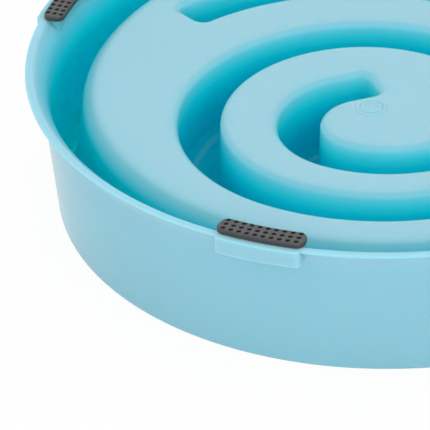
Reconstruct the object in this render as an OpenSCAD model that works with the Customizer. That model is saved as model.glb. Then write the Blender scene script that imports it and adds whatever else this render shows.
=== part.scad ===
/* [Bowl] */
// Diameter over the flared lip that the bowl stands on
bowl_d = 250; // [230:1:280]
// Height from the mouth rim to the standing lip
bowl_h = 51.2; // [48:0.2:62]
// Wall of the moulding
wall = 2.2; // [1.8:0.1:2.6]
// Depth of the feeding floor below the standing lip, seen from underneath
floor_drop = 8.5; // [6:0.5:11]
// Lean of the outer skirt in degrees
skirt_draft = 5.5; // [3:0.5:8]
// Lean of the inner bowl wall in degrees
well_draft = 8; // [5:0.5:11]
// Width of the rim round the mouth
mouth_w = 6.6; // [6:0.1:9]
// Rounding of both edges of the mouth rim
mouth_round = 2.4; // [1.5:0.1:2.8]
// Rounding where the floor turns down into the bowl wall
shoulder_round = 3; // [2.4:0.1:5]

/* [Flared lip] */
// How far the lip flares out beyond the straight skirt
flare_out = 4.65; // [3:0.05:6]
// Radius of the flare on its outer side
flare_round = 9.5; // [7:0.5:10]
// Lean of the outer face at the end of the flare in degrees
flare_angle = 62; // [55:1:66]
// Lean of the inner face at the end of the flare in degrees
flare_inner_angle = 55; // [50:1:60]
// Width of the flat edge that the bowl stands on
lip_land = 2.4; // [2:0.1:3]
// Height of the upright edge round the lip
lip_edge = 1; // [0.9:0.1:1.6]
// Rounding of the edges of the lip
lip_round = 0.5; // [0.3:0.05:0.5]

/* [Spiral ridge] */
// Height of the ridge above the feeding floor
ridge_h = 28; // [20:0.5:31]
// Width of the hollow behind the ridge, between its walls at the floor
hollow_w = 14.8; // [12:0.2:16]
// Lean of the ridge walls in degrees
ridge_draft = 2.5; // [1:0.5:3]
// Rounding along the top of the hollow
hollow_round = 2; // [1.5:0.1:3]
// Rounding at the bottom of the hollow
hollow_end_round = 2.6; // [1.5:0.1:3]
// Rounding where the ridge meets the feeding floor
floor_round = 1.2; // [0.8:0.1:2]
// Corner radius of the hollow's square ends, seen from above
end_corner = 3.6; // [2:0.2:4.4]

/* [Rubber feet] */
// Length of a foot along the lip
foot_l = 30.4; // [24:0.2:36]
// Width of a foot across the lip
foot_w = 7.4; // [6.8:0.1:8]
// Distance from the outside of a foot to the outside of the lip
foot_overhang = 2.6; // [2.4:0.1:3.2]
// Height of a foot above the lip
foot_proud = 2; // [1.6:0.1:3]
// How far the cap of a foot reaches past its stem at each end
cap_end = 2.2; // [1.6:0.1:2.8]
// How far the cap of a foot reaches past its stem at each side
cap_side = 0.3; // [0.2:0.1:0.6]
// Depth of the socket that the stem of a foot is pressed into
socket_depth = 6.5; // [4:0.5:7]
// Clearance between a stem and the sides of its socket
foot_clearance = 0.1; // [0.05:0.05:0.2]
// Wall of the boss round a socket
boss_wall = 1.5; // [1:0.1:1.8]
// Corner radius of a foot, seen from above
foot_corner = 2.8; // [2:0.1:3.2]
// Rounding along the top edge of a foot
foot_edge = 0.5; // [0.4:0.1:1]
// Diameter of the dimples in a foot
dimple_d = 1.3; // [1:0.1:1.6]
// Depth of the dimples in a foot
dimple_depth = 1; // [0.6:0.1:1.6]
// Direction of the first foot in degrees
foot_turn = 249.2; // [225:0.2:275]

/* [Hidden] */
$fn = 96;

// Overrun of a cut past the surface that it opens
over = 1;
// Share of its radius at which a rounding is set from its two lines
blend_share = 0.997;
// Shares of the lip radius: the five bends of the spiral, and where the first one starts
bend_radius_shares = [0.186, 0.322, 0.444, 0.579, 0.709];
spiral_start_shares = [-0.126, -0.037];
// Sweep of each bend, and the heading where the first one starts
bend_sweeps = [132.7, 168.7, 189, 164.6, 85.8];
spiral_heading = 200;
// Share of the lip radius that the spiral runs straight at its inner end
spiral_lead_share = 0.091;
// Share of the wall by which every second run of the spiral is larger
seam_share = 0.03;
// Turn by which the other runs reach into these
seam_turn = 0.3;
// Share of the floor's thickness that the ridge's body reaches into it
root_share = 0.5;
// Share of its radius by which an end corner starts outside the wall that it rounds
end_ease_share = 0.03;
// Share of its radius by which the end corner's strip starts before the corner
end_lap_share = 1.2;
// Share of the gap behind the mouth rim that its roundings take
gap_round_share = 0.42;

lip_r = bowl_d / 2;
floor_z = bowl_h - floor_drop;
food_z = floor_z - wall;
gap_z = wall;

// Radii of the faces at a height
function skirt_outer_r(z) = lip_r - flare_out - (bowl_h - z) * tan(skirt_draft);
function skirt_inner_r(z) = skirt_outer_r(z) - wall / cos(skirt_draft);
function well_food_r(z) = skirt_outer_r(0) - mouth_w - z * tan(well_draft);
function well_back_r(z) = well_food_r(z) + wall / cos(well_draft);

gap_w = skirt_inner_r(gap_z) - well_back_r(gap_z);
gap_round = gap_w * gap_round_share;

// Height of the corner where a straight face turns into the flare
flare_z = bowl_h - (flare_out + lip_edge * tan(flare_angle)) / (tan(flare_angle) - tan(skirt_draft));
flare_inner_out = flare_out + wall / cos(skirt_draft) - lip_land;
flare_inner_z = bowl_h - flare_inner_out / (tan(flare_inner_angle) - tan(skirt_draft));
flare_inner_round = flare_round + wall;

// Section of the ridge: half widths of its hollow and of its body
hollow_z = food_z - ridge_h + wall;
ridge_z = food_z - ridge_h;
hollow_half_top = hollow_w / 2;
hollow_half_end = hollow_half_top - (floor_z - hollow_z) * tan(ridge_draft);
body_grow = wall / cos(ridge_draft);
body_half_food = hollow_half_top - (floor_z - food_z) * tan(ridge_draft) + body_grow;
body_half_end = hollow_half_top - (floor_z - ridge_z) * tan(ridge_draft) + body_grow;
end_axis = hollow_half_end - hollow_end_round;
root_z = food_z + wall * root_share;
body_end_round = body_half_end - end_axis;

// Feet
foot_outer_r = lip_r - foot_overhang;
foot_mid_r = foot_outer_r - foot_w / 2;
foot_half_w = foot_w / 2;
stem_half_l = foot_l / 2 - cap_end;
stem_half_w = foot_half_w - cap_side;
stem_corner = foot_corner - cap_side;
stem_root_share = 0.25;
stem_top_z = bowl_h + foot_proud * stem_root_share;
foot_top_z = bowl_h + foot_proud;
socket_z = bowl_h - socket_depth;
boss_z = socket_z - wall;
dimple_rows = 3;
dimple_columns = 10;
dimple_row_share = 0.32;
dimple_column_share = 0.092;

// Gate mark left by the mould: its place in shares of the lip radius, its rings in shares of the wall
gate_shares = [-0.051, -0.146];
gate_ring_shares = [1.4, 2.2];
gate_ring_w_share = 0.2;
gate_ring_h_share = 0.1;
gate_ring_w = wall * gate_ring_w_share;
gate_ring_h = wall * gate_ring_h_share;

shell_colour = [0.45, 0.76, 0.85];
rubber_colour = [0.12, 0.12, 0.13];

function unit(v) = v / norm(v);
function half_angle(a, b) = acos(a * b) / 2;
function corner_centre(p, q, n, r) =
  let(a = unit(p - q), b = unit(n - q))
  q + unit(a + b) * blend_share * abs(r) / sin(half_angle(a, b));
function corner_feet(p, q, n, r) =
  let(a = unit(p - q), b = unit(n - q), d = blend_share * abs(r) / tan(half_angle(a, b)))
  r == 0 ? [q] : [q + a * d, q + b * d];

// An outline with true arcs at its corners: a radius over 0 rounds outwards, under 0 inwards
module rounded(pts, radii) {
  count = len(pts);
  function before(i) = pts[(i + count - 1) % count];
  function after(i) = pts[(i + 1) % count];
  difference() {
    union() {
      polygon([for (i = [0 : count - 1]) each corner_feet(before(i), pts[i], after(i), radii[i])]);
      for (i = [0 : count - 1])
        if (radii[i] > 0)
          translate(corner_centre(before(i), pts[i], after(i), radii[i]))
            circle(r = radii[i]);
    }
    for (i = [0 : count - 1])
      if (radii[i] < 0)
        translate(corner_centre(before(i), pts[i], after(i), radii[i]))
          circle(r = -radii[i]);
  }
}

// Everything inside the outer faces of the moulding, from the axis outwards
module envelope_section() {
  rounded(
    [
      [0, food_z],
      [well_food_r(food_z), food_z],
      [well_food_r(0), 0],
      [skirt_outer_r(0), 0],
      [skirt_outer_r(flare_z), flare_z],
      [lip_r, bowl_h - lip_edge],
      [lip_r, bowl_h],
      [0, bowl_h]
    ],
    [0, -floor_round, mouth_round, mouth_round, -flare_round, lip_round, lip_round, 0]);
}

// The open space seen from underneath: over the floor and down between the two walls
module underside_section() {
  rise = over * tan(flare_inner_angle);
  rounded(
    [
      [0, floor_z],
      [well_back_r(floor_z), floor_z],
      [well_back_r(gap_z), gap_z],
      [skirt_inner_r(gap_z), gap_z],
      [skirt_inner_r(flare_inner_z), flare_inner_z],
      [lip_r - lip_land + rise, bowl_h + over],
      [0, bowl_h + over]
    ],
    [0, -shoulder_round, gap_round, gap_round, -flare_inner_round, 0, 0]);
}

// Half of the ridge's hollow beside the axis of its end corners, grown by a small step
module hollow_half_section(inside, grow) {
  side = hollow_half_top - end_axis + grow;
  reach = side + hollow_round * blend_share;
  intersection() {
    rounded(
      [
        [-hollow_half_top, hollow_z - grow],
        [hollow_half_end - end_axis + grow, hollow_z - grow],
        [side, floor_z],
        [reach + over, floor_z],
        [reach + over, bowl_h],
        [-hollow_half_top, bowl_h]
      ],
      [0, hollow_end_round, -hollow_round, 0, 0, 0]);
    translate([inside, 0])
      square([reach - inside, floor_z + over + grow]);
  }
}

module hollow_section(grow) {
  for (side = [0, 1])
    mirror([side, 0])
      translate([end_axis, 0])
        hollow_half_section(-end_axis, grow);
}

// Half of the ridge's body beside the same axis
module body_half_section(inside, grow) {
  side = body_half_food - end_axis + grow;
  reach = side + floor_round * blend_share;
  intersection() {
    rounded(
      [
        [-body_half_food, ridge_z - grow],
        [body_half_end - end_axis + grow, ridge_z - grow],
        [side, food_z],
        [reach + over, food_z],
        [reach + over, floor_z],
        [-body_half_food, floor_z]
      ],
      [0, body_end_round, -floor_round, 0, 0, 0]);
    translate([inside, 0])
      square([reach - inside, root_z + grow]);
  }
}

module body_section(grow) {
  for (side = [0, 1])
    mirror([side, 0])
      translate([end_axis, 0])
        body_half_section(-end_axis, grow);
}

// Places along the spiral: [centre, direction from the centre at the start]
function heading_at(i) = i == 0 ? spiral_heading : heading_at(i - 1) + bend_sweeps[i - 1];
function bend_r(i) = bend_radius_shares[i] * lip_r;
function side_of(i) = [cos(heading_at(i) + 90), sin(heading_at(i) + 90)];
function bend_start(i) =
  i == 0 ? spiral_start_shares * lip_r : bend_centre(i - 1) - side_of(i) * bend_r(i - 1);
function bend_centre(i) = bend_start(i) + side_of(i) * bend_r(i);
bends = len(bend_radius_shares);
spiral_lead = spiral_lead_share * lip_r;

// Every second run is a step larger, and the others reach a little way into it
seam_step = wall * seam_share;
function turn_of(length, r) = length / r * 180 / PI;

module along_bend(i, past_end) {
  before = i % 2 == 0 ? seam_turn : 0;
  after = i == bends - 1 ? turn_of(past_end + over, bend_r(i)) : before;
  translate(bend_centre(i))
    rotate([0, 0, heading_at(i) - 90 - before])
      rotate_extrude(angle = bend_sweeps[i] + before + after)
        translate([bend_r(i), 0])
          children();
}

// Straight run from the start of the first bend back to the inner end
module along_lead(past_end) {
  translate(bend_start(0))
    rotate([90, 0, spiral_heading - 90])
      linear_extrude(height = spiral_lead + past_end + over)
        children();
}

// Plan of a square end with round corners, and of all that lies behind it
module end_plan(half_w, corner) {
  side = half_w + corner * end_ease_share;
  lap = corner * end_lap_share;
  rounded(
    [
      [-bowl_d, -bowl_d],
      [bowl_d, -bowl_d],
      [bowl_d, -lap],
      [side, -lap],
      [side, 0],
      [-side, 0],
      [-side, -lap],
      [-bowl_d, -lap]
    ],
    [0, 0, 0, 0, corner, corner, 0, 0]);
}

module end_form(at, heading, past_end, half_w, corner) {
  translate([at[0], at[1], -over])
    rotate([0, 0, heading - 90])
      translate([0, past_end])
        linear_extrude(height = bowl_h + 2 * over)
          end_plan(half_w, corner);
}

inner_end = bend_start(0) - spiral_lead * [cos(spiral_heading), sin(spiral_heading)];
outer_heading = heading_at(bends - 1) + bend_sweeps[bends - 1];
outer_end = bend_centre(bends - 1) + bend_r(bends - 1) * [cos(outer_heading - 90), sin(outer_heading - 90)];

// A run along the whole spiral: past_end is how far its ends reach past the hollow's
module spiral_run(past_end, half_w) {
  for (i = [0 : bends - 2])
    along_bend(i, 0) children(i % 2);
  intersection() {
    along_bend(bends - 1, past_end) children((bends - 1) % 2);
    end_form(outer_end, outer_heading, past_end, half_w, end_corner + past_end);
  }
  intersection() {
    along_lead(past_end) children(1);
    end_form(inner_end, spiral_heading + 180, past_end, half_w + seam_step, end_corner + past_end);
  }
}

module ridge_bodies() {
  spiral_run(wall, body_half_food) {
    body_section(0);
    body_section(seam_step);
  }
}

module ridge_hollows() {
  spiral_run(0, hollow_half_top) {
    hollow_section(0);
    hollow_section(seam_step);
  }
}

// A bar that follows the lip: length and width, corner radius, with a section for its edges
module lip_bar(half_l, half_w, corner, z0, z1, edge) {
  half_turn = turn_of(half_l - corner, foot_mid_r);
  end_half = half_w - corner;
  for (side = [-1, 1])
    rotate([0, 0, side * half_turn])
      translate([foot_mid_r, 0]) {
        for (part = [-1, 1])
          translate([part * end_half, 0])
            rotate([0, 0, part > 0 ? (side > 0 ? 0 : -90) : (side > 0 ? 90 : 180)])
              rotate_extrude(angle = 90)
                edge_section(corner, z0, z1, edge);
        rotate([90, 0, side * 90])
          translate([0, 0, -end_half])
            linear_extrude(height = 2 * end_half)
              edge_section(corner, z0, z1, edge);
      }
  rotate([0, 0, -half_turn])
    rotate_extrude(angle = 2 * half_turn)
      translate([foot_mid_r, 0])
        rounded([[-half_w, z0], [half_w, z0], [half_w, z1], [-half_w, z1]], [0, 0, edge, edge]);
}

module edge_section(w, z0, z1, edge) {
  rounded([[0, z0], [w, z0], [w, z1], [0, z1]], [0, 0, edge, 0]);
}

// The bosses round the sockets are square-ended stretches of a ring
module bosses() {
  grow = foot_clearance + boss_wall;
  half_w = stem_half_w + grow;
  half_turn = turn_of(stem_half_l + grow, foot_mid_r);
  for (turn = [0 : 3])
    rotate([0, 0, foot_turn + turn * 90 - half_turn])
      rotate_extrude(angle = 2 * half_turn)
        rounded(
          [
            [foot_mid_r - half_w, boss_z],
            [foot_mid_r + half_w, boss_z],
            [foot_mid_r + half_w, bowl_h],
            [foot_mid_r - half_w, bowl_h]
          ],
          [0, 0, 0, lip_round]);
}

module sockets() {
  for (turn = [0 : 3])
    rotate([0, 0, foot_turn + turn * 90])
      lip_bar(stem_half_l + foot_clearance, stem_half_w + foot_clearance,
        stem_corner + foot_clearance, socket_z, bowl_h + over, 0);
}

module gate_mark() {
  for (share = gate_ring_shares)
    translate([gate_shares[0] * lip_r, gate_shares[1] * lip_r, floor_z])
      rotate_extrude()
        translate([wall * share, -gate_ring_h])
          square([gate_ring_w, 2 * gate_ring_h]);
}

module bowl_shell() {
  color(shell_colour)
    difference() {
      union() {
        rotate_extrude()
          difference() {
            envelope_section();
            underside_section();
          }
        ridge_bodies();
        bosses();
        gate_mark();
      }
      ridge_hollows();
      sockets();
    }
}

// A foot: a dimpled cap that rests on the lip, and a stem in the socket
module foot(turn) {
  pitch_along = foot_l * dimple_column_share;
  pitch_across = foot_w * dimple_row_share;
  dimple_z = foot_top_z - dimple_depth;
  color(rubber_colour)
    rotate([0, 0, foot_turn + turn * 90])
      difference() {
        union() {
          lip_bar(foot_l / 2, foot_half_w, foot_corner, bowl_h, foot_top_z, foot_edge);
          lip_bar(stem_half_l, stem_half_w, stem_corner, socket_z, stem_top_z, 0);
        }
        for (row = [0 : dimple_rows - 1]) {
          row_r = foot_mid_r + (row - (dimple_rows - 1) / 2) * pitch_across;
          for (column = [0 : dimple_columns - 1])
            rotate([0, 0, turn_of((column - (dimple_columns - 1) / 2) * pitch_along, row_r)])
              translate([row_r, 0, dimple_z])
                cylinder(d = dimple_d, h = dimple_depth + over, $fn = 24);
        }
      }
}

module foot_front() {
  foot(0);
}

module foot_right() {
  foot(1);
}

module foot_back() {
  foot(2);
}

module foot_left() {
  foot(3);
}

bowl_shell();
foot_front();
foot_right();
foot_back();
foot_left();
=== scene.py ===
"""A slow feeder bowl, turned over: its moulded shell, its four rubber feet and a plain pale studio."""
import math

import bmesh
import bpy
import numpy as np
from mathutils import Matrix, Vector
from mathutils.geometry import delaunay_2d_cdt
from mathutils.kdtree import KDTree


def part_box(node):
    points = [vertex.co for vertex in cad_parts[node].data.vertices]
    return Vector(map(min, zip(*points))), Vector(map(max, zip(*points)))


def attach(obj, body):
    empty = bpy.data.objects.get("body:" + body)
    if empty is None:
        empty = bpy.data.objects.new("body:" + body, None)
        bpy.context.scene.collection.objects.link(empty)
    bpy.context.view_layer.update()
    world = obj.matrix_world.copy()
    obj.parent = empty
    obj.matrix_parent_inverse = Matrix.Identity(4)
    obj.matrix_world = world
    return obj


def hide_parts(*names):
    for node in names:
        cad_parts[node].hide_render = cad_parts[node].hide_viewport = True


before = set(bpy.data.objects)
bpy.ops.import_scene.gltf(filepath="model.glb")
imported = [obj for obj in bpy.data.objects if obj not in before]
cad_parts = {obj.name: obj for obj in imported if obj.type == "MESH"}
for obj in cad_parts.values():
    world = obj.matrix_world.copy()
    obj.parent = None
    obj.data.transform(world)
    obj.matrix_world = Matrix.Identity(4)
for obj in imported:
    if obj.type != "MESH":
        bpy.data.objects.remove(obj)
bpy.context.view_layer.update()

MM = 0.001

# Bowl: the sizes that drive its section
LIP_R = 125 * MM
BOWL_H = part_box("bowl_shell")[1].z
WALL = 2.2 * MM
FLOOR_DROP = 8.5 * MM
SKIRT_DRAFT = math.radians(5.5)
WELL_DRAFT = math.radians(8)
MOUTH_W = 6.6 * MM
MOUTH_ROUND = 2.4 * MM
SHOULDER_ROUND = 7 * MM
WELL_ROUND = 4.8 * MM
FLARE_OUT = 4.65 * MM
FLARE_ROUND = 9.5 * MM
FLARE_ANGLE = math.radians(62)
FLARE_INNER_ANGLE = math.radians(55)
LIP_LAND = 2.4 * MM
LIP_EDGE = 1 * MM
LIP_ROUND = 0.5 * MM
LIP_INNER_ROUND = 0.35 * MM
GAP_ROUND_SHARE = 0.42

# Spiral ridge and the hollow behind it: shares are of the lip's radius, sweeps and heading in degrees
RIDGE_H = 28 * MM
HOLLOW_HALF = 7.4 * MM
RIDGE_DRAFT = math.radians(2.5)
HOLLOW_ROUND = 2.8 * MM
HOLLOW_END_ROUND = 5 * MM
FLOOR_ROUND = 1.2 * MM
END_CORNER = 3.6 * MM
BEND_RADIUS_SHARES = (0.186, 0.322, 0.444, 0.579, 0.709)
BEND_SWEEPS = (132.7, 168.7, 189, 164.6, 85.8)
SPIRAL_START_SHARES = (-0.126, -0.037)
SPIRAL_HEADING = 200
SPIRAL_LEAD_SHARE = 0.091

# The flats between the turns are a little crowned, and their edges lean this much
CROWN_LEAN = math.radians(6)
CROWN_W = 5 * MM

# Gate mark: rings left by the mould in the middle of the spiral
GATE_SHARES = (-0.051, -0.146)
GATE_RINGS = (3.1 * MM, 4.9 * MM)
GATE_RING_W = 0.5 * MM
GATE_RING_H = 0.4 * MM

# Feet: rubber bars with rows of dimples, each with a stem in the socket of its boss
FOOT_L = 30.4 * MM
FOOT_W = 7.4 * MM
FOOT_OVERHANG = 1.1 * MM
FOOT_PROUD = 2 * MM
FOOT_CORNER = 2.8 * MM
FOOT_EDGE = 0.7 * MM
FOOT_LOWER_EDGE = 0.3 * MM
FOOT_CLEARANCE = 0.1 * MM
STEM_HALF_L = 13 * MM
STEM_INNER_R = 119.3 * MM
STEM_OUTER_R = 123.5 * MM
STEM_CORNER = 1.5 * MM
STEM_ROOT_SHARE = 0.25
SOCKET_DEPTH = 5 * MM
DIMPLE_R = 0.78 * MM
DIMPLE_DEPTH = 1 * MM
DIMPLE_ROUND = 0.2 * MM
DIMPLE_FLOOR_SHARE = 0.3
DIMPLE_FLARE_SHARE = 1.2
DIMPLE_ROWS = 3
DIMPLE_COLUMNS = 10
DIMPLE_ROW_SHARE = 0.33
DIMPLE_COLUMN_SHARE = 0.093

# Bosses that hold the feet, moulded on to the lip
BOSS_HALF_L = 14.4 * MM
BOSS_INNER_R = 118.4 * MM
BOSS_OUTER_R = 126.5 * MM
BOSS_Z = 44.6 * MM
BOSS_CORNER = 1.6 * MM
BOSS_ROUND = 1.4 * MM
BOSS_INSET_SHARE = 0.95

# The feet stand a quarter turn apart, counted on from the one at the back, in degrees
BACK_FOOT_TURN = 69.6
FOOT_QUARTERS = {"foot_front": 2, "foot_right": 3, "foot_back": 0, "foot_left": 1}

# Depths that pick painted shade and light on the plastic: a little above zero outside, and below zero
# between the walls
SKIRT_DEPTH = 0.012
SKIRT_DARKENING_W = 12 * MM
GAP_SHADE_H = 44 * MM
WELL_SHADE_Z = 36 * MM
WELL_SHADE_POWER = 1.6
SHADE_STEP = 0.5 * MM

# The plastic's colour by depth: 0 on the flats is its own pale colour; away from it the colour is
# painted shade and painted light, red fading as shade falls deeper in, green and blue kept high as light
# through the thin walls; -1 low in the gap between the walls, 1 at the end of the hollow
PLASTIC_AND_PAINTED_SHADES = [
    (-1, (0, 0.89, 1)),
    (-0.85, (0, 0.83, 0.96)),
    (-0.66, (0, 0.73, 0.85)),
    (-0.48, (0, 0.66, 0.755)),
    (-0.39, (0, 0.65, 0.735)),
    (-0.3, (0.01, 0.68, 0.765)),
    (-0.21, (0.08, 0.64, 0.745)),
    (-0.12, (0.14, 0.6, 0.71)),
    (-0.027, (0.2, 0.53, 0.615)),
    (0, (0.328, 0.603, 0.706)),
    (0.023, (0.25, 0.553, 0.645)),
    (0.054, (0.25, 0.64, 0.74)),
    (0.1, (0.19, 0.72, 0.83)),
    (0.15, (0.11, 0.76, 0.88)),
    (0.214, (0.05, 0.77, 0.9)),
    (0.3, (0.005, 0.75, 0.89)),
    (0.43, (0, 0.67, 0.82)),
    (0.6, (0, 0.58, 0.75)),
    (0.8, (0, 0.55, 0.72)),
    (0.9, (0, 0.5, 0.66)),
    (1, (0, 0.4, 0.53)),
]

# Rubber's darkest and lightest grain
RUBBER_DARK = (0.022, 0.022, 0.023, 1)
RUBBER_LIGHT = (0.055, 0.056, 0.057, 1)

# Studio: places and sizes in metres, and the power of each softbox in watts
FLOOR_HALF = 3
FLOOR_WHITE_SHARE = 0.95
WORLD_STRENGTH = 0.8
LIGHT_AIM = (0, 0, 0)
SOFTBOXES = [
    ("key", (0.2, 0.3, 1.6), 1.2, 5),
    ("front", (0.1, -1.8, 0.9), 1.4, 10.6),
]
WHITE = (1, 1, 1, 1)

# Camera: a long lens, aimed at a point on the flats' plane
CAMERA_LENS = 420.4
CAMERA_TURN = math.radians(2.3525)
CAMERA_RISE = math.radians(32.3382)
CAMERA_ROLL = math.radians(-1.7309)
CAMERA_DISTANCE = 1654.8 * MM
CAMERA_AIM = (-57.9 * MM, -85.83 * MM, 42.7 * MM)

# Mesh fineness
TURNS = 360
STATION = 1.2 * MM
WALL_STEP = 5 * MM
FLAT_STEP = 2 * MM
FLAT_CLEAR_SHARE = 0.6
ARC_STEP = math.radians(7)
FEWEST_ARC_STEPS = 3
CORNER_POINTS = 7
END_POINTS = 5
EDGE_SAMPLES = 4000
BAR_STATIONS = 20
DIMPLE_SIDES = 20
GATE_SIDES = 64
GATE_SAMPLE_SHARES = (-1, -0.55, -0.2, 0.2, 0.55, 1)
GATE_CLEAR_WIDTHS = 3

# The least corner, the distances in metres at which points are one, and the angles that stay sharp
SMALLEST_CORNER = 0.05 * MM
WELD = 1e-6
SEAM_WELD = 2e-6
TRIANGLE_TOLERANCE = 1e-9
SHELL_SHARP = math.radians(40)
FOOT_SHARP = math.radians(50)

# What leaves a short straight stretch beside a rounding: a smaller radius, or a longer line
NEARLY = 0.999
BEYOND = 1.02
EDGE_BEYOND = 1.05

FLOOR_Z = BOWL_H - FLOOR_DROP
FOOD_Z = FLOOR_Z - WALL
GAP_Z = WALL
HOLLOW_Z = FOOD_Z - RIDGE_H + WALL
RIDGE_Z = FOOD_Z - RIDGE_H
SOCKET_Z = BOWL_H - SOCKET_DEPTH
FOOT_TOP_Z = BOWL_H + FOOT_PROUD
FOOT_MID_R = LIP_R - FOOT_OVERHANG - FOOT_W / 2
FOOT_TURNS = {name: BACK_FOOT_TURN + 90 * quarters for name, quarters in FOOT_QUARTERS.items()}


def skirt_outer_r(z):
    return LIP_R - FLARE_OUT - (BOWL_H - z) * math.tan(SKIRT_DRAFT)


def skirt_inner_r(z):
    return skirt_outer_r(z) - WALL / math.cos(SKIRT_DRAFT)


def well_food_r(z):
    return skirt_outer_r(0) - MOUTH_W - z * math.tan(WELL_DRAFT)


def well_back_r(z):
    return well_food_r(z) + WALL / math.cos(WELL_DRAFT)


def hollow_half(z):
    return HOLLOW_HALF - (FLOOR_Z - z) * math.tan(RIDGE_DRAFT)


def ridge_half(z):
    return HOLLOW_HALF + WALL / math.cos(RIDGE_DRAFT) - (FLOOR_Z - z) * math.tan(RIDGE_DRAFT)


def unit(v):
    return v / np.linalg.norm(v)


def turned(v, angle):
    cos, sin = math.cos(angle), math.sin(angle)
    return np.array([v[0] * cos - v[1] * sin, v[0] * sin + v[1] * cos])


def on_circle(angles):
    """Points at these angles on a circle of radius 1."""
    return np.stack([np.cos(angles), np.sin(angles)], -1)


def circle(sides):
    """Points that divide a circle of radius 1 into equal sides."""
    return on_circle(np.arange(sides) / sides * 2 * math.pi)


def at_height(plan, z):
    return np.column_stack([plan, np.full(len(plan), z)])


def rounded(corners):
    """The line through corners given as (x, y, radius), with an arc at each one between the ends."""
    points = [np.array(corner[:2], float) for corner in corners]
    line = [points[0]]
    for before, corner, after, (_, _, radius) in zip(points, points[1:], points[2:], corners[1:]):
        if radius == 0:
            line.append(corner)
            continue
        a, b = unit(before - corner), unit(after - corner)
        half = math.acos(max(-1, min(1, float(a @ b)))) / 2
        centre = corner + unit(a + b) * radius / math.sin(half)
        start = corner + a * radius / math.tan(half) - centre
        end = corner + b * radius / math.tan(half) - centre
        sweep = math.atan2(start[0] * end[1] - start[1] * end[0], float(start @ end))
        steps = max(FEWEST_ARC_STEPS, math.ceil(abs(sweep) / ARC_STEP))
        line += [centre + turned(start, sweep * i / steps) for i in range(steps + 1)]
    line.append(points[-1])
    return np.array(line)


def divided(line, step):
    """The same line with points added so that none lie further apart than the step."""
    out = [line[0]]
    for p, q in zip(line, line[1:]):
        parts = max(1, math.ceil(np.linalg.norm(q - p) / step))
        out += [p + (q - p) * i / parts for i in range(1, parts + 1)]
    return np.array(out)


def nearest_tree(points):
    """A search tree that finds the nearest of these flat points."""
    tree = KDTree(len(points))
    for i, (x, y) in enumerate(points):
        tree.insert((x, y, 0), i)
    tree.balance()
    return tree


def inside(points, loop):
    """Whether each point lies inside a closed loop, by the crossings of a ray."""
    result = np.zeros(len(points), bool)
    x, y = points[:, 0], points[:, 1]
    for (x0, y0), (x1, y1) in zip(loop, np.roll(loop, -1, axis=0)):
        if y0 == y1:
            continue
        cross = (y0 > y) != (y1 > y)
        result ^= cross & (x < (x1 - x0) * (y - y0) / (y1 - y0) + x0)
    return result


# Meshes and objects
# Stores each point's depth, which picks its painted shade
def set_shade_depth(mesh, shade_depths):
    mesh.attributes["shade_depth"].data.foreach_set("value", shade_depths.astype(np.float32))


class Surface:
    """Points, faces and each point's depth for painted shade, joined into one mesh at the end."""

    def __init__(self):
        self.points = []
        self.faces = []
        self.shade_depths = []
        self.count = 0

    def add(self, points, faces, shade_depths=None):
        points = np.asarray(points, float).reshape(-1, 3)
        if shade_depths is None:
            shade_depths = np.zeros(len(points))
        self.points.append(points)
        self.shade_depths.append(np.ravel(shade_depths))
        self.faces += [tuple(i + self.count for i in face) for face in faces]
        self.count += len(points)

    def add_loops(self, loops, flip=False, shade_depths=None, capped=False):
        """Closed loops of equally many points, joined one after another by four-sided faces."""
        loops = np.asarray(loops, float)
        rows, n = loops.shape[:2]
        faces = []
        for j in range(rows - 1):
            for i in range(n):
                k = (i + 1) % n
                face = (j * n + i, j * n + k, (j + 1) * n + k, (j + 1) * n + i)
                faces.append(face[::-1] if flip else face)
        if capped:
            faces.append(tuple(range((rows - 1) * n, rows * n)))
            faces.append(tuple(range(n))[::-1])
        self.add(loops, faces, shade_depths)

    def mesh(self, name):
        made = bpy.data.meshes.new(name)
        made.from_pydata(np.concatenate(self.points).tolist(), [], self.faces)
        made.attributes.new("shade_depth", "FLOAT", "POINT")
        set_shade_depth(made, np.concatenate(self.shade_depths))
        return made


def new_object(name, data):
    made = bpy.data.objects.new(name, data)
    bpy.context.scene.collection.objects.link(made)
    return made


def weld(mesh, others=(), distance=WELD):
    """Takes other meshes into this one, merges the points that meet and turns the faces outwards."""
    work = bmesh.new()
    for part in (mesh, *others):
        work.from_mesh(part)
    bmesh.ops.remove_doubles(work, verts=work.verts, dist=distance)
    bmesh.ops.recalc_face_normals(work, faces=work.faces)
    work.to_mesh(mesh)
    work.free()


def combine(obj, surface, operation):
    """Joins a closed surface on to an object, or cuts it out of the object."""
    tool = new_object("tool", surface.mesh("tool"))
    weld(tool.data)
    change = obj.modifiers.new("combine", "BOOLEAN")
    change.operation = operation
    change.object = tool
    change.solver = "EXACT"
    graph = bpy.context.evaluated_depsgraph_get()
    made = bpy.data.meshes.new_from_object(obj.evaluated_get(graph))
    obj.modifiers.clear()
    old = obj.data
    obj.data = made
    bpy.data.meshes.remove(old)
    bpy.data.objects.remove(tool)


def smooth(obj, angle):
    obj.data.shade_smooth()
    obj.data.set_sharp_from_angle(angle=angle)


# The spiral in its own places: s runs along it from the inner end, and d lies to its left
def spiral_runs():
    """Each run as (where it starts along the spiral, first point, heading, bend radius or None)."""
    heading = math.radians(SPIRAL_HEADING)
    start = np.array(SPIRAL_START_SHARES) * LIP_R
    lead = SPIRAL_LEAD_SHARE * LIP_R
    runs = [(0, start - lead * turned((1, 0), heading), heading, None)]
    s = lead
    for share, sweep in zip(BEND_RADIUS_SHARES, BEND_SWEEPS):
        radius, sweep = share * LIP_R, math.radians(sweep)
        runs.append((s, start, heading, radius))
        centre = start + radius * turned((0, 1), heading)
        heading += sweep
        start = centre - radius * turned((0, 1), heading)
        s += radius * sweep
    return runs, s


RUNS, SPIRAL_L = spiral_runs()
STATIONS = round(SPIRAL_L / STATION)


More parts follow.
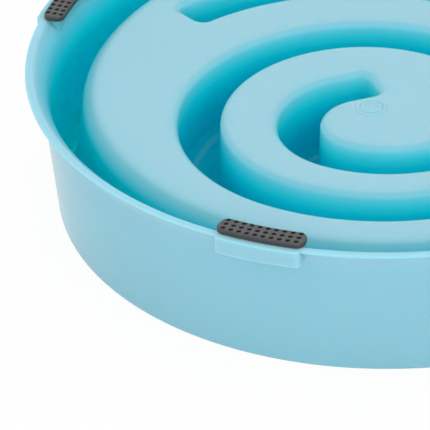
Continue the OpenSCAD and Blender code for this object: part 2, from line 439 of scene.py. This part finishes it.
def place(s, d):
    """Plan points of places given along the spiral and to its left."""
    out = np.empty(s.shape + (2,))
    ends = [run[0] for run in RUNS[1:]] + [math.inf]
    for (begin, start, heading, radius), end in zip(RUNS, ends):
        begin_or_before = -math.inf if begin == 0 else begin
        here = (s >= begin_or_before) & (s < end)
        along, left = s[here] - begin, d[here]
        forward, sideways = turned((1, 0), heading), turned((0, 1), heading)
        if radius is None:
            out[here] = start + np.outer(along, forward) + np.outer(left, sideways)
        else:
            centre = start + radius * sideways
            angle = heading - math.pi / 2 + along / radius
            out[here] = centre + (radius - left)[:, None] * on_circle(angle)
    return out


def outline(half):
    """Plan outline round the spiral at a half width, with round corners at both square ends."""
    grown = half - HOLLOW_HALF
    corner = max(END_CORNER + grown, SMALLEST_CORNER)
    first, last, side = -grown + corner, SPIRAL_L + grown - corner, half - corner
    stations = np.linspace(first, last, STATIONS)
    across = np.linspace(-side, side, END_POINTS + 2)[1:-1]
    turn = np.linspace(0, math.pi / 2, CORNER_POINTS + 2)[1:-1]
    more, less = corner * np.sin(turn), corner * np.cos(turn)
    end = np.full(END_POINTS, corner)
    edge = np.full(STATIONS, half)
    s = [stations, last + more, last + end, last + less,
         stations[::-1], first - more, first - end, first - less]
    d = [-edge, -side - less, across, side + more,
         edge, side + less, across[::-1], -side - more]
    return place(np.concatenate(s), np.concatenate(d))


def ridge_loops(profile):
    """The outline at each (half width, height) of a profile."""
    return np.array([at_height(outline(half), z) for half, z in profile])


def end_faces(base, n, flip):
    """Faces that close a ridge's innermost outline: strips between its sides, and one at each end."""
    half = n // 2
    opposite = [half + STATIONS - 1 - i for i in range(STATIONS)]
    faces = [(base + i, base + i + 1, base + opposite[i + 1], base + opposite[i])
             for i in range(STATIONS - 1)]
    faces.append(tuple(base + i for i in range(STATIONS - 1, half + 1)))
    faces.append(tuple(base + i % n for i in range(half + STATIONS - 1, n + 1)))
    return [face[::-1] for face in faces] if flip else faces


def add_ridge(surface, loops, flip=False, shade_depths=None):
    """A ridge's walls by their loops, closed at the last loop."""
    surface.add_loops(loops, flip=flip, shade_depths=shade_depths)
    n = loops.shape[1]
    surface.faces += end_faces(surface.count - n, n, flip)


def crown_drop(distance):
    """How far the crowned flats lie below their middle, at a distance from their edge."""
    return CROWN_LEAN * CROWN_W / 2 * np.clip(1 - distance / CROWN_W, 0, 1) ** 2


def crowned_edge(radius, draft):
    """Height of the corner at the edge of the crowned flats, and how far its rounding reaches."""
    reach = radius / math.tan((math.pi / 2 + CROWN_LEAN + draft) / 2)
    return FLOOR_Z - crown_drop(0) - reach * math.sin(CROWN_LEAN), reach


def hollow_profile():
    """Half section of the ridge's hollow, from the flats down to the middle of its end."""
    corner_z, reach = crowned_edge(HOLLOW_ROUND, RIDGE_DRAFT)
    corner_half, end_half = hollow_half(corner_z), hollow_half(HOLLOW_Z)
    line = rounded([
        (corner_half + reach * math.cos(CROWN_LEAN), FLOOR_Z - crown_drop(0), 0),
        (corner_half, corner_z, HOLLOW_ROUND * NEARLY),
        (end_half, HOLLOW_Z, HOLLOW_END_ROUND),
        (end_half - HOLLOW_END_ROUND * BEYOND, HOLLOW_Z, 0),
    ])
    return divided(line, WALL_STEP)


def ridge_profile():
    """Half section of the ridge's food side, from the feeding floor to its crest."""
    floor_half, crest_half = ridge_half(FOOD_Z), ridge_half(RIDGE_Z)
    crest_round = crest_half - hollow_half(HOLLOW_Z) + HOLLOW_END_ROUND
    line = rounded([
        (floor_half + FLOOR_ROUND, FOOD_Z, 0),
        (floor_half, FOOD_Z, FLOOR_ROUND),
        (crest_half, RIDGE_Z, crest_round),
        (crest_half - crest_round * BEYOND, RIDGE_Z, 0),
    ])
    return divided(line, WALL_STEP)


# The rim: skirt, lip, mouth and well, with its bosses
def rim_profile():
    """Section of the rim from the feeding floor round the mouth, skirt and lip to the flats."""
    flare, skirt = math.tan(FLARE_ANGLE), math.tan(SKIRT_DRAFT)
    flare_z = BOWL_H - (FLARE_OUT + LIP_EDGE * flare) / (flare - skirt)
    flare_inner_out = FLARE_OUT + WALL / math.cos(SKIRT_DRAFT) - LIP_LAND
    flare_inner_z = BOWL_H - flare_inner_out / (math.tan(FLARE_INNER_ANGLE) - skirt)
    gap_round = (skirt_inner_r(GAP_Z) - well_back_r(GAP_Z)) * GAP_ROUND_SHARE
    shoulder_z, reach = crowned_edge(SHOULDER_ROUND, WELL_DRAFT)
    shoulder_r = well_back_r(shoulder_z)
    line = rounded([
        (well_food_r(FOOD_Z) - WELL_ROUND, FOOD_Z, 0),
        (well_food_r(FOOD_Z), FOOD_Z, WELL_ROUND),
        (well_food_r(0), 0, MOUTH_ROUND),
        (skirt_outer_r(0), 0, MOUTH_ROUND),
        (skirt_outer_r(flare_z), flare_z, FLARE_ROUND),
        (LIP_R, BOWL_H - LIP_EDGE, LIP_ROUND),
        (LIP_R, BOWL_H, LIP_ROUND),
        (LIP_R - LIP_LAND, BOWL_H, LIP_INNER_ROUND),
        (skirt_inner_r(flare_inner_z), flare_inner_z, FLARE_ROUND + WALL),
        (skirt_inner_r(GAP_Z), GAP_Z, gap_round),
        (well_back_r(GAP_Z), GAP_Z, gap_round),
        (shoulder_r, shoulder_z, SHOULDER_ROUND * NEARLY),
        (shoulder_r - reach * math.cos(CROWN_LEAN), FLOOR_Z - crown_drop(0), 0),
    ])
    return divided(line, WALL_STEP)


def rim_shade_depth(points, profile):
    """Depth for painted shade at rim points: a little above zero outside, below zero between the walls.
    """
    line = divided(profile, SHADE_STEP)
    z = line[:, 1]
    order = np.arange(len(line))
    lip = np.argmax(z)
    gap = lip + np.argmin(z[lip:])
    # Painted shade: a little darker on the skirt below the lip, and deeper down the gap and the well's
    # shoulder
    outside = SKIRT_DEPTH * np.clip((BOWL_H - z) / SKIRT_DARKENING_W, 0, 1)
    below_lip = np.clip((BOWL_H - z) / GAP_SHADE_H, 0, 1)
    down_well = np.clip((FLOOR_Z - z) / (FLOOR_Z - WELL_SHADE_Z), 0, 1) ** WELL_SHADE_POWER
    shoulder = (BOWL_H - WELL_SHADE_Z) / GAP_SHADE_H * down_well
    between = np.where((order > gap) & (z > WELL_SHADE_Z), shoulder, below_lip)
    shade_depth = np.where(order > lip, -between, outside)
    tree = nearest_tree(line)
    return np.array([shade_depth[tree.find((math.hypot(x, y), height, 0))[1]] for x, y, height in points])


def revolved(profile):
    """A ring of points for each (radius, height) of a profile."""
    return np.array([at_height(r * circle(TURNS), z) for r, z in profile])


def bar_outline(half_l, half_w, corner, inset):
    """Plan outline, along and across, of a bar with round corners, drawn in by an inset."""
    turn = np.linspace(0, math.pi / 2, CORNER_POINTS)
    small = max(corner - inset, SMALLEST_CORNER)
    more = inset - corner + small
    along, across = half_l - corner - more, half_w - corner - more
    out = []
    for k, (a, b) in enumerate([(along, across), (-along, across), (-along, -across), (along, -across)]):
        out.append(np.array([a, b]) + small * on_circle(turn + k * math.pi / 2))
        if k % 2 == 0:
            side = np.linspace(a, -a, BAR_STATIONS)[1:-1]
            out.append(np.column_stack([side, np.full(len(side), b + math.copysign(small, b))]))
    return np.concatenate(out)


def bent(points, turn):
    """Places along, across and up of a bar, bent round the bowl's axis."""
    angle = math.radians(turn) - points[..., 0] / FOOT_MID_R
    radius = FOOT_MID_R + points[..., 1]
    return np.stack([radius * np.cos(angle), radius * np.sin(angle), points[..., 2]], -1)


def add_bar(surface, turn, half_l, inner_r, outer_r, corner, section):
    """A closed bar: its outline at each (inset, height) of the section, with both ends capped."""
    loops = []
    for inset, z in section:
        plan = bar_outline(half_l, (outer_r - inner_r) / 2, corner, inset)
        plan[:, 1] += (inner_r + outer_r) / 2 - FOOT_MID_R
        loops.append(bent(at_height(plan, z), turn))
    surface.add_loops(loops, capped=True)


def add_bosses(rim):
    """Joins the four bosses on to the rim and cuts their sockets."""
    inset = BOSS_CORNER * BOSS_INSET_SHARE
    boss = rounded([
        (inset, BOSS_Z, 0),
        (0, BOSS_Z, BOSS_ROUND),
        (0, BOWL_H, LIP_ROUND),
        (inset, BOWL_H, 0),
    ])
    socket = [(0, SOCKET_Z), (0, BOWL_H + WALL)]
    socket_half_l = STEM_HALF_L + FOOT_CLEARANCE
    inner_r, outer_r = STEM_INNER_R - FOOT_CLEARANCE, STEM_OUTER_R + FOOT_CLEARANCE
    bosses, sockets = Surface(), Surface()
    for turn in FOOT_TURNS.values():
        add_bar(bosses, turn, BOSS_HALF_L, BOSS_INNER_R, BOSS_OUTER_R, BOSS_CORNER, boss)
        add_bar(sockets, turn, socket_half_l, inner_r, outer_r, STEM_CORNER, socket)
    combine(rim, bosses, "UNION")
    combine(rim, sockets, "DIFFERENCE")


def open_rim(mesh, low, high):
    """Removes the faces that close the rim's section between the feeding floor and the flats."""
    work = bmesh.new()
    work.from_mesh(mesh)
    closing = []
    for face in work.faces:
        heights = [vert.co.z for vert in face.verts]
        if abs(min(heights) - low) < WELD and abs(max(heights) - high) < WELD:
            closing.append(face)
    bmesh.ops.delete(work, geom=closing, context="FACES")
    work.to_mesh(mesh)
    work.free()


def make_rim(profile):
    """The revolved rim with its bosses and depths for painted shade, open towards floor and flats."""
    surface = Surface()
    surface.add_loops(revolved(np.concatenate([profile, profile[:1]])))
    rim = new_object("rim", surface.mesh("rim"))
    weld(rim.data)
    add_bosses(rim)
    points = np.empty(len(rim.data.vertices) * 3)
    rim.data.vertices.foreach_get("co", points)
    set_shade_depth(rim.data, rim_shade_depth(points.reshape(-1, 3), profile))
    open_rim(rim.data, profile[0][1], profile[-1][1])
    return rim


# The shell: rim, flats, hollow, feeding floor and ridge
def gate_mark():
    """The gate mark's middle, how far it reaches, and points over its rings."""
    centre = np.array(GATE_SHARES) * LIP_R
    points = []
    for ring in GATE_RINGS:
        for share in GATE_SAMPLE_SHARES:
            points += list(centre + (ring + GATE_RING_W * share) * circle(GATE_SIDES))
    return centre, GATE_RINGS[-1] + GATE_CLEAR_WIDTHS * GATE_RING_W, points


def flats_height(hollow_edge, edge_half, flat_r, gate_centre):
    """A function that gives the height of the crowned flats, with the gate's rings, at plan points."""
    along = np.linspace(0, SPIRAL_L, EDGE_SAMPLES)
    sides = place(*np.meshgrid(along, [-edge_half, edge_half]))
    tree = nearest_tree(np.concatenate([sides.reshape(-1, 2), hollow_edge]))

    def height(plan):
        to_hollow = np.array([tree.find((x, y, 0))[2] for x, y in plan])
        to_rim = np.maximum(flat_r - np.hypot(plan[:, 0], plan[:, 1]), 0)
        z = FLOOR_Z - np.maximum(crown_drop(to_hollow), crown_drop(to_rim))
        from_gate = np.hypot(*(plan - gate_centre).T)
        for ring in GATE_RINGS:
            z = z + GATE_RING_H * np.clip(1 - (np.abs(from_gate - ring) / GATE_RING_W) ** 2, 0, 1)
        return z

    return height


def grid_points(outer, edge, marks):
    """A staggered grid inside the outer loop, clear of the edges, and the marks' own points."""
    span = np.arange(-LIP_R, LIP_R, FLAT_STEP)
    x, y = np.meshgrid(span, span)
    x[1::2] += FLAT_STEP / 2
    tree = nearest_tree(edge)
    reach = np.linalg.norm(outer, axis=1).min()
    points = [
        p for p in np.column_stack([x.ravel(), y.ravel()])
        if np.hypot(*p) < reach and tree.find((*p, 0))[2] > FLAT_STEP * FLAT_CLEAR_SHARE
        and all(np.hypot(*(p - centre)) > clear for centre, clear, _ in marks)
    ]
    for _, _, own in marks:
        points += own
    return np.array(points)


def flat_between(outer, inner, height, marks=()):
    """Triangles over the plan inside one loop and outside another, at a height that varies."""
    edge = np.concatenate([outer, inner])
    points = np.concatenate([edge, grid_points(outer, edge, marks)])
    n, m = len(outer), len(inner)
    edges = [(i, (i + 1) % n) for i in range(n)] + [(n + i, n + (i + 1) % m) for i in range(m)]
    vectors = [Vector(p) for p in points]
    verts, _, faces, *_ = delaunay_2d_cdt(vectors, edges, [], 0, TRIANGLE_TOLERANCE)
    verts = np.array([tuple(v) for v in verts])
    faces = np.array([face for face in faces if len(face) == 3])
    middles = verts[faces].mean(axis=1)
    faces = faces[inside(middles, outer) & ~inside(middles, inner)]
    used = np.unique(faces)
    index = np.full(len(verts), -1)
    index[used] = np.arange(len(used))
    verts = verts[used]
    return np.column_stack([verts, height(verts)]), [tuple(face) for face in index[faces]]


def make_shell():
    """The shell, its rim welded to the flats with their hollow and to the floor with its ridge."""
    profile = rim_profile()
    rim = make_rim(profile)
    floor_ring, flats_ring = revolved(profile[[0, -1]])[..., :2]
    section = hollow_profile()
    hollow, ridge = ridge_loops(section), ridge_loops(ridge_profile())
    hollow_edge, ridge_edge = hollow[0][:, :2], ridge[0][:, :2]
    gate = gate_mark()
    height = flats_height(hollow_edge, section[0][0], profile[-1][0], gate[0])
    surface = Surface()
    # Painted shade down the hollow: its depth runs from 0 at the flats to 1 at the hollow's end
    add_ridge(surface, hollow, shade_depths=(FLOOR_Z - hollow[..., 2]) / (FLOOR_Z - HOLLOW_Z))
    surface.add(*flat_between(flats_ring, hollow_edge, height, [gate]))
    add_ridge(surface, ridge, flip=True)
    points, faces = flat_between(floor_ring, ridge_edge, lambda plan: np.full(len(plan), FOOD_Z))
    surface.add(points, [face[::-1] for face in faces])
    made = new_object("bowl_shell_visual", surface.mesh("bowl_shell_visual"))
    weld(made.data, [rim.data], SEAM_WELD)
    bpy.data.objects.remove(rim)
    smooth(made, SHELL_SHARP)
    return made


# The feet
def dimples(turn):
    """Rows of small round cutters for the dimples in a foot's top."""
    low, high = FOOT_TOP_Z - DIMPLE_DEPTH, FOOT_TOP_Z + DIMPLE_DEPTH
    mouth = DIMPLE_R + DIMPLE_ROUND * DIMPLE_FLARE_SHARE
    section = rounded([
        (DIMPLE_R * DIMPLE_FLOOR_SHARE, low, 0),
        (DIMPLE_R, low, DIMPLE_ROUND),
        (DIMPLE_R, FOOT_TOP_Z, DIMPLE_ROUND),
        (mouth, FOOT_TOP_Z, 0),
        (mouth, high, 0),
    ])
    ring = circle(DIMPLE_SIDES)
    made = Surface()
    for row in range(DIMPLE_ROWS):
        across = (row - (DIMPLE_ROWS - 1) / 2) * FOOT_W * DIMPLE_ROW_SHARE
        spread = FOOT_MID_R / (FOOT_MID_R + across)
        for column in range(DIMPLE_COLUMNS):
            along = (column - (DIMPLE_COLUMNS - 1) / 2) * FOOT_L * DIMPLE_COLUMN_SHARE * spread
            centre = np.array([along, across])
            loops = [bent(at_height(centre + r * ring, z), turn) for r, z in section]
            made.add_loops(loops, capped=True)
    return made


def make_foot(name, turn):
    """A rubber cap bent round the lip, with round edges, rows of dimples and a stem in its socket."""
    inner_r, outer_r = FOOT_MID_R - FOOT_W / 2, FOOT_MID_R + FOOT_W / 2
    cap_section = rounded([
        (FOOT_LOWER_EDGE * EDGE_BEYOND, BOWL_H, 0),
        (0, BOWL_H, FOOT_LOWER_EDGE),
        (0, FOOT_TOP_Z, FOOT_EDGE),
        (FOOT_EDGE * EDGE_BEYOND, FOOT_TOP_Z, 0),
    ])
    stem_section = [(0, SOCKET_Z), (0, BOWL_H + FOOT_PROUD * STEM_ROOT_SHARE)]
    cap, stem = Surface(), Surface()
    add_bar(cap, turn, FOOT_L / 2, inner_r, outer_r, FOOT_CORNER, cap_section)
    add_bar(stem, turn, STEM_HALF_L, STEM_INNER_R, STEM_OUTER_R, STEM_CORNER, stem_section)
    made = new_object(name + "_visual", cap.mesh(name + "_visual"))
    weld(made.data)
    combine(made, stem, "UNION")
    combine(made, dimples(turn), "DIFFERENCE")
    smooth(made, FOOT_SHARP)
    return made


# Materials
def material(name):
    made = bpy.data.materials.new(name)
    made.use_nodes = True
    nodes = made.node_tree.nodes
    return made, nodes, made.node_tree.links, nodes["Principled BSDF"]


def set_inputs(node, values):
    for name, value in values.items():
        node.inputs[name].default_value = value


def noise(nodes, links, scale, detail):
    """A noise fixed to the object."""
    place_in = nodes.new("ShaderNodeTexCoord")
    made = nodes.new("ShaderNodeTexNoise")
    set_inputs(made, {"Scale": scale, "Detail": detail})
    links.new(place_in.outputs["Object"], made.inputs["Vector"])
    return made.outputs["Fac"]


def add_bump(nodes, links, shader, height, strength, distance):
    bump = nodes.new("ShaderNodeBump")
    set_inputs(bump, {"Strength": strength, "Distance": distance})
    links.new(height, bump.inputs["Height"])
    links.new(bump.outputs["Normal"], shader.inputs["Normal"])


def plastic():
    """Pale blue plastic that lets a little light in, with painted shade and light by how deep it lies.
    """
    made, nodes, links, shader = material("moulded_plastic")
    shade_depth = nodes.new("ShaderNodeAttribute")
    shade_depth.attribute_name = "shade_depth"
    share = nodes.new("ShaderNodeMapRange")
    set_inputs(share, {"From Min": -1})
    links.new(shade_depth.outputs["Fac"], share.inputs["Value"])
    # The ramp paints shade and light by depth on to the plastic's own colour
    ramp = nodes.new("ShaderNodeValToRGB")
    while len(ramp.color_ramp.elements) < len(PLASTIC_AND_PAINTED_SHADES):
        ramp.color_ramp.elements.new(1)
    for element, (position, shade) in zip(ramp.color_ramp.elements, PLASTIC_AND_PAINTED_SHADES):
        element.position = (1 + position) / 2
        element.color = (*shade, 1)
    links.new(share.outputs["Result"], ramp.inputs["Fac"])
    links.new(ramp.outputs["Color"], shader.inputs["Base Color"])
    gloss = nodes.new("ShaderNodeMapRange")
    set_inputs(gloss, {"To Min": 0.18, "To Max": 0.24})
    links.new(noise(nodes, links, scale=60, detail=3), gloss.inputs["Value"])
    links.new(gloss.outputs["Result"], shader.inputs["Roughness"])
    grain = noise(nodes, links, scale=900, detail=2)
    add_bump(nodes, links, shader, grain, strength=0.03, distance=0.1 * MM)
    set_inputs(shader, {
        "IOR": 1.5,
        "Specular IOR Level": 0.12,
        "Subsurface Weight": 1,
        "Subsurface Radius": (0.4, 1, 1.1),
        "Subsurface Scale": 3 * MM,
    })
    return made


def rubber():
    """Black rubber with a fine uneven grain."""
    made, nodes, links, shader = material("black_rubber")
    grain = noise(nodes, links, scale=1400, detail=4)
    shade = nodes.new("ShaderNodeMix")
    shade.data_type = "RGBA"
    set_inputs(shade, {"A": RUBBER_DARK, "B": RUBBER_LIGHT})
    links.new(grain, shade.inputs["Factor"])
    links.new(shade.outputs["Result"], shader.inputs["Base Color"])
    add_bump(nodes, links, shader, grain, strength=0.6, distance=0.2 * MM)
    set_inputs(shader, {"Roughness": 0.4, "Specular IOR Level": 0.7})
    return made


# The studio
def seen_by(nodes, links, rays):
    """A value of 1 for the named kinds of ray, and 0 for all others."""
    path = nodes.new("ShaderNodeLightPath")
    seen = path.outputs[rays[0]]
    for ray in rays[1:]:
        either = nodes.new("ShaderNodeMath")
        either.operation = "MAXIMUM"
        links.new(seen, either.inputs[0])
        links.new(path.outputs[ray], either.inputs[1])
        seen = either.outputs[0]
    return seen


def mixed(nodes, links, share, first, second):
    mix = nodes.new("ShaderNodeMixShader")
    links.new(share, mix.inputs["Fac"])
    links.new(first.outputs[0], mix.inputs[1])
    links.new(second.outputs[0], mix.inputs[2])
    return mix.outputs[0]


def white_floor():
    """A floor that the camera sees as white, with a trace of the object's shadow."""
    made, nodes, links, shader = material("white_floor")
    set_inputs(shader, {"Base Color": (0.9, 0.9, 0.9, 1), "Roughness": 0.9})
    light = nodes.new("ShaderNodeEmission")
    set_inputs(light, {"Strength": 1})
    share = nodes.new("ShaderNodeMath")
    share.operation = "MULTIPLY"
    share.inputs[1].default_value = FLOOR_WHITE_SHARE
    links.new(seen_by(nodes, links, ["Is Camera Ray", "Is Glossy Ray"]), share.inputs[0])
    surface = mixed(nodes, links, share.outputs[0], shader, light)
    links.new(surface, nodes["Material Output"].inputs["Surface"])
    return made


def make_floor():
    corners = [(x * FLOOR_HALF, y * FLOOR_HALF, 0) for x, y in ((-1, -1), (1, -1), (1, 1), (-1, 1))]
    mesh = bpy.data.meshes.new("floor")
    mesh.from_pydata(corners, [], [(0, 1, 2, 3)])
    floor = new_object("floor", mesh)
    floor.data.materials.append(white_floor())


def make_world():
    """Even light from all sides, which the camera, reflections and clear things see as white."""
    world = bpy.data.worlds.new("studio")
    bpy.context.scene.world = world
    world.use_nodes = True
    nodes, links = world.node_tree.nodes, world.node_tree.links
    sky = nodes["Background"]
    set_inputs(sky, {"Color": WHITE, "Strength": WORLD_STRENGTH})
    backdrop = nodes.new("ShaderNodeBackground")
    set_inputs(backdrop, {"Color": WHITE, "Strength": 1})
    seen = seen_by(nodes, links, ["Is Camera Ray", "Is Glossy Ray", "Is Transmission Ray"])
    links.new(mixed(nodes, links, seen, sky, backdrop), nodes["World Output"].inputs["Surface"])


def make_softbox(name, location, size, power):
    data = bpy.data.lights.new(name, "AREA")
    data.shape = "SQUARE"
    data.size = size
    data.energy = power
    lamp = new_object(name, data)
    lamp.location = location
    lamp.rotation_euler = (Vector(LIGHT_AIM) - Vector(location)).to_track_quat("-Z", "Y").to_euler()


def make_camera():
    """The camera, placed by its turn and rise about the point it is aimed at, then rolled."""
    data = bpy.data.cameras.new("camera")
    data.lens = CAMERA_LENS
    camera = new_object("camera", data)
    level = math.cos(CAMERA_RISE)
    back = Vector((math.sin(CAMERA_TURN) * level, -math.cos(CAMERA_TURN) * level, math.sin(CAMERA_RISE)))
    camera.location = Vector(CAMERA_AIM) + back * CAMERA_DISTANCE
    aimed = (-back).to_track_quat("-Z", "Y").to_matrix()
    right, up = aimed.col[0].copy(), aimed.col[1].copy()
    cos, sin = math.cos(CAMERA_ROLL), math.sin(CAMERA_ROLL)
    aimed.col[0] = right * cos + up * sin
    aimed.col[1] = up * cos - right * sin
    camera.rotation_euler = aimed.to_euler()
    bpy.context.scene.camera = camera


shell = make_shell()
shell.data.materials.append(plastic())
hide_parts("bowl_shell")
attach(shell, "root")
black = rubber()
for foot_name, foot_turn in FOOT_TURNS.items():
    foot = make_foot(foot_name, foot_turn)
    foot.data.materials.append(black)
    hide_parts(foot_name)
    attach(foot, "root")
make_floor()
make_world()
for softbox in SOFTBOXES:
    make_softbox(*softbox)
make_camera()
bpy.context.scene.view_settings.view_transform = "Standard"
